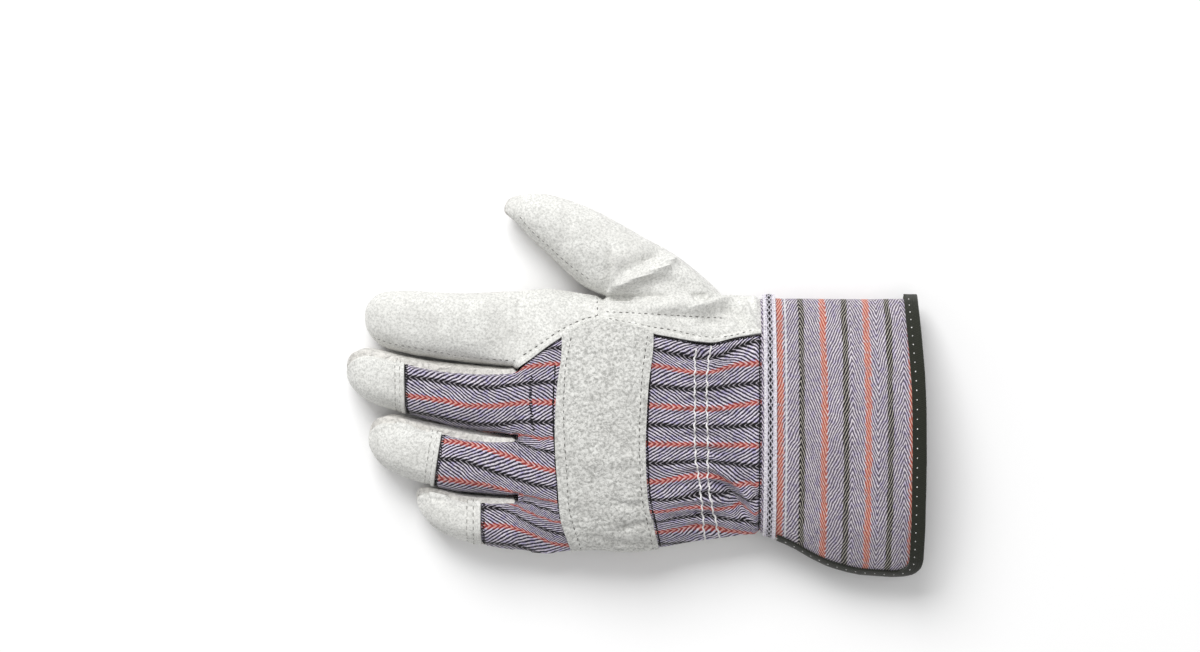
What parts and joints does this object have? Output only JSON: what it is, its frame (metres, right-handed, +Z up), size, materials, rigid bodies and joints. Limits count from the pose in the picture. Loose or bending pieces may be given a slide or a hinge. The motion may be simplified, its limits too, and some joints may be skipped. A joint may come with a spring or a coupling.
{
  "type": "work glove",
  "caption": "Left-hand leather palm work glove with a striped cloth back and a stiff open cuff, hollow and lying palm down.",
  "frame": {"origin": "centre of the glove's box, on the surface it lies on", "axes": "+X from the finger tips to the cuff's mouth, +Y to the thumb side, +Z up out of the back of the hand"},
  "size_m": [0.26, 0.1734, 0.0403],
  "materials": {
    "leather": "matt suede, pale grey white",
    "palm_leather": "rough split suede, pale grey white",
    "striped_cloth": "herringbone twill, lavender grey with orange and black stripes",
    "cuff_cloth": "stiffened herringbone twill with the same stripes",
    "binding": "dark green black edge tape",
    "tape": "stitched joining tape",
    "thread": "sewing thread"
  },
  "bodies": {
    "root": {"palm": "palm_leather", "palm_insert": "palm_leather", "index_palm": "palm_leather", "index_back": "leather", "thumb_palm": "palm_leather", "thumb_back": "leather", "hand_back": "striped_cloth", "knuckle_strap": "leather", "middle_tip": "leather", "ring_tip": "leather", "little_tip": "leather", "cuff": "cuff_cloth", "cuff_tape": "tape", "cuff_binding": "binding", "pulse_patch": "palm_leather"}
  },
  "joints": []
}
